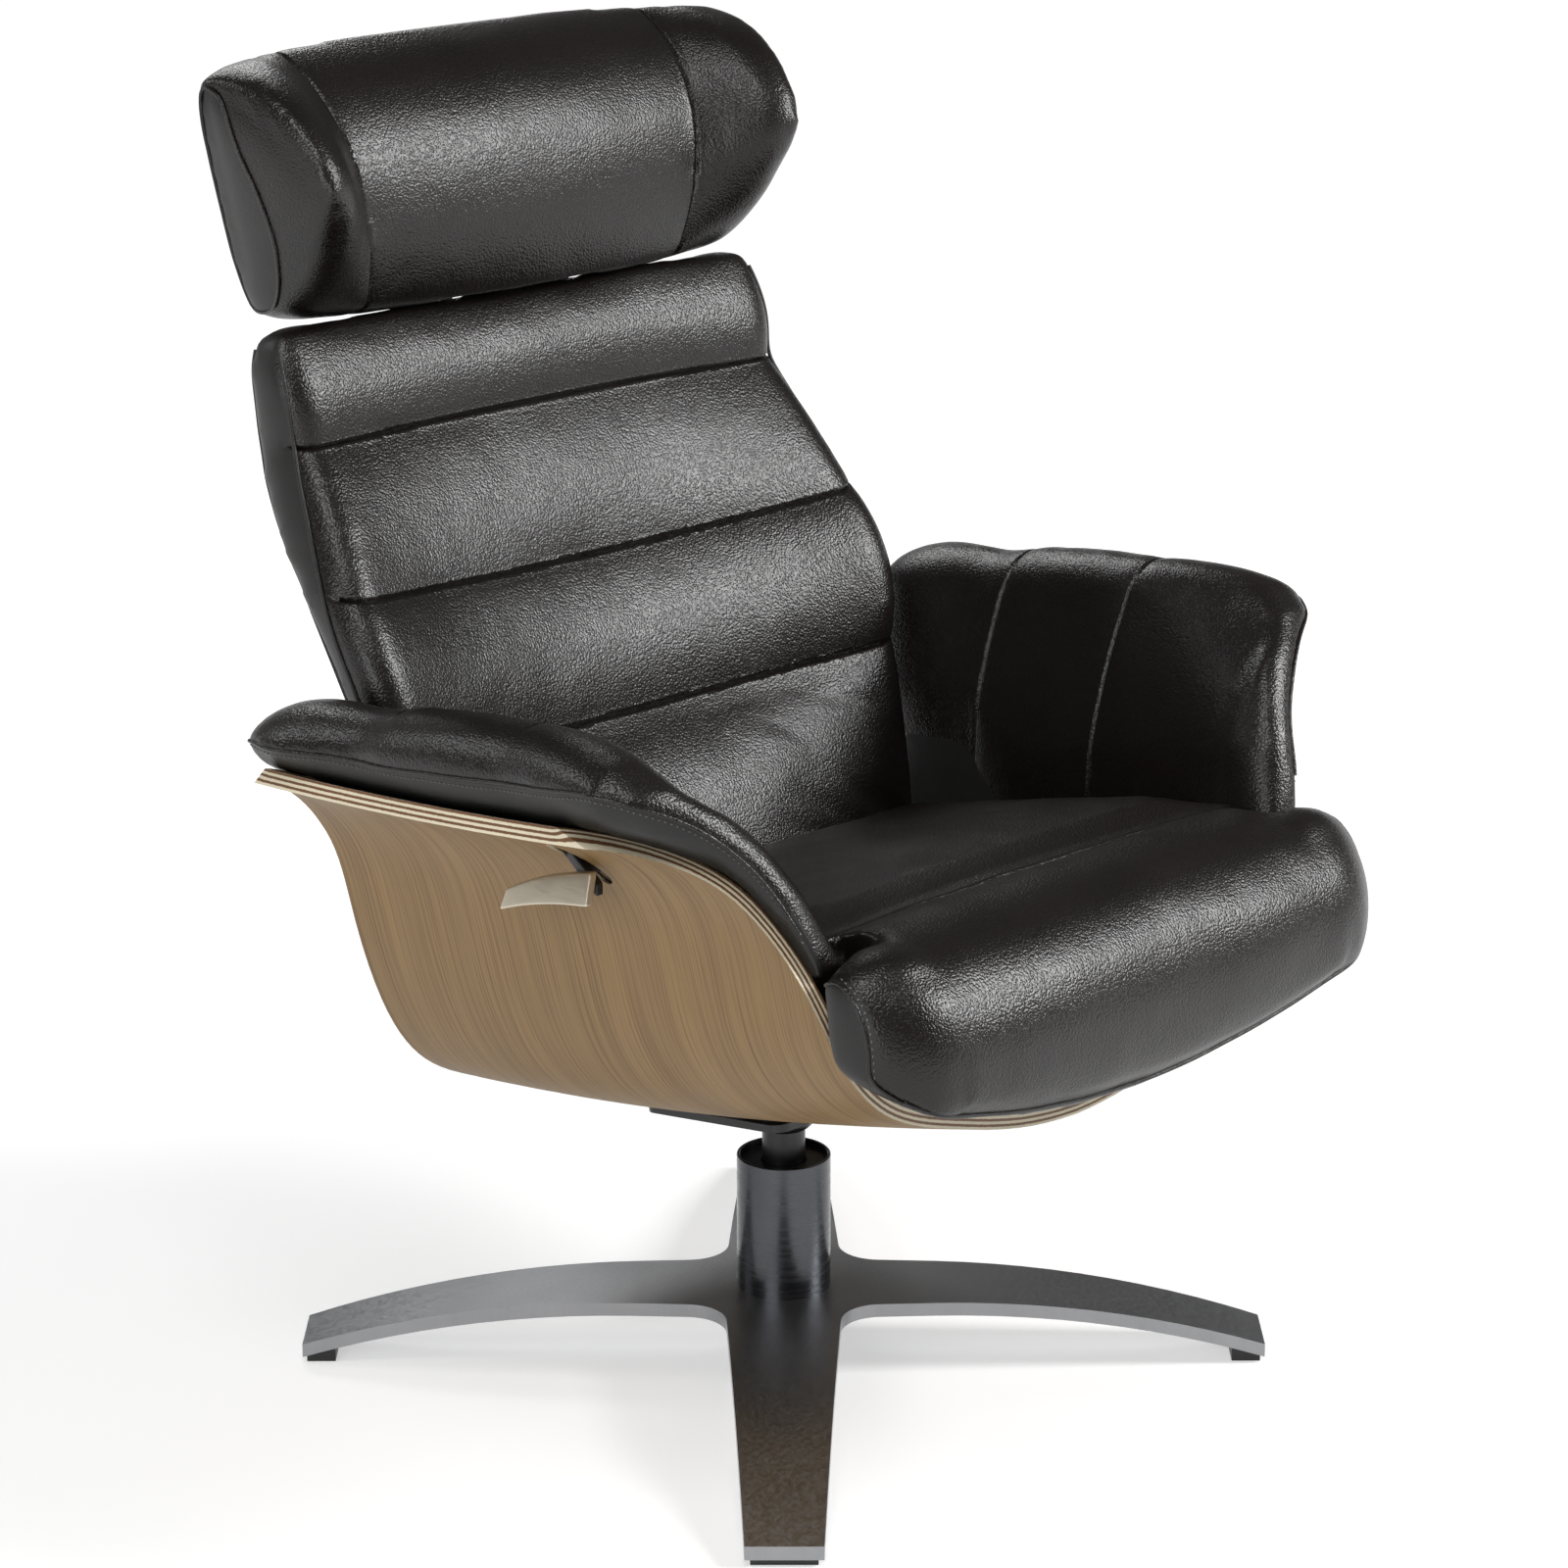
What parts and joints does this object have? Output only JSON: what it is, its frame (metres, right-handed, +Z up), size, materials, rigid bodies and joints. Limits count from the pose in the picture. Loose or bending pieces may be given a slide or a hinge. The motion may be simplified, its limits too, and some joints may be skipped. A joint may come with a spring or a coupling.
{
  "type": "swivel recliner",
  "caption": "Lounge recliner: leather seat, back, arm pads and headrest in a bent plywood shell that swivels on a column and star base; it slides, reclines and tilts.",
  "frame": {"origin": "on the floor, in the swivel axis", "axes": "+Z up, the sitter faces -Y, +X is the sitter's left"},
  "size_m": [0.7452, 0.7421, 0.992],
  "materials": {
    "base_metal": "satin graphite grey",
    "sleeve_metal": "brushed gunmetal",
    "steel": "zinc plated",
    "black_metal": "satin black",
    "black_plastic": "matte",
    "rubber": "matte",
    "oak": "oak veneer on bent plywood, satin lacquer",
    "plain_wood": "raw plywood",
    "leather": "grained, semi gloss",
    "side_leather": "smooth, matte charcoal",
    "nickel": "satin nickel"
  },
  "bodies": {
    "base": {"star_base": "base_metal", "glide_1": "black_plastic", "glide_2": "black_plastic", "glide_3": "black_plastic", "glide_4": "black_plastic", "glide_screws": "steel", "column_sleeve": "sleeve_metal", "column_tube": "steel", "sleeve_cap": "black_plastic", "lower_bushing": "black_plastic", "upper_bushing": "black_plastic", "thrust_washer": "steel"},
    "swivel": {"swivel_post": "black_metal", "retaining_bolt": "steel", "post_collar": "black_metal", "mounting_plate": "black_metal", "plate_spacers": "rubber", "plate_bolts": "steel", "chassis_nuts": "steel", "shell": "oak", "chassis": "black_metal", "left_seat_rail": "steel", "right_seat_rail": "steel", "rail_screws": "steel", "left_arm_pad": "leather", "right_arm_pad": "leather", "recline_axle": "steel", "spring_pin": "steel", "gas_spring_cylinder": "black_metal", "lever_bracket": "black_metal", "lever_pin": "steel"},
    "seat": {"seat_cushion": "leather", "seat_pan": "plain_wood", "left_seat_runner": "black_plastic", "right_seat_runner": "black_plastic"},
    "back": {"back_cushion": "leather", "back_board": "plain_wood", "back_cover": "side_leather", "back_bracket": "black_metal", "bracket_screws": "steel", "rod_pin": "steel", "left_post_guide": "black_plastic", "right_post_guide": "black_plastic"},
    "headrest_posts": {"headrest_yoke": "steel"},
    "headrest": {"headrest_cushion": "leather", "headrest_core": "black_metal"},
    "spring_rod": {"gas_spring_rod": "steel"},
    "lever": {"lever": "nickel"}
  },
  "joints": [
    {"name": "swivel", "type": "hinge", "parent": "base", "child": "swivel", "pos_m": [0, 0, 0.1], "axis": [0, 0, 1], "continuous": true},
    {"name": "recline", "type": "hinge", "parent": "swivel", "child": "back", "pos_m": [0, 0.13, 0.335], "axis": [-1, 0, 0], "range_deg": [0, 22]},
    {"name": "seat_slide", "type": "slide", "parent": "swivel", "child": "seat", "axis": [0, -0.9748, 0.2233], "range_m": [0, 0.04]},
    {"name": "headrest_rise", "type": "slide", "parent": "back", "child": "headrest_posts", "axis": [0, 0.2419, 0.9703], "range_m": [0, 0.06]},
    {"name": "headrest_tilt", "type": "hinge", "parent": "headrest_posts", "child": "headrest", "pos_m": [0, 0.3134, 0.83172], "axis": [1, 0, 0], "range_deg": [0, 20]},
    {"name": "spring_stroke", "type": "slide", "parent": "swivel", "child": "spring_rod", "axis": [0, -1, 0], "range_m": [0, 0.0195]},
    {"name": "release", "type": "hinge", "parent": "swivel", "child": "lever", "pos_m": [-0.26, -0.076, 0.462], "axis": [-1, 0, 0], "range_deg": [0, 12], "stiffness_Nm_per_rad": 2, "springref_deg": -5.73}
  ],
  "couplings": [
    {"joint": "seat_slide", "follows": "recline", "m_per_rad": 0.104},
    {"joint": "spring_stroke", "follows": "recline", "m_per_rad": 0.0497}
  ]
}
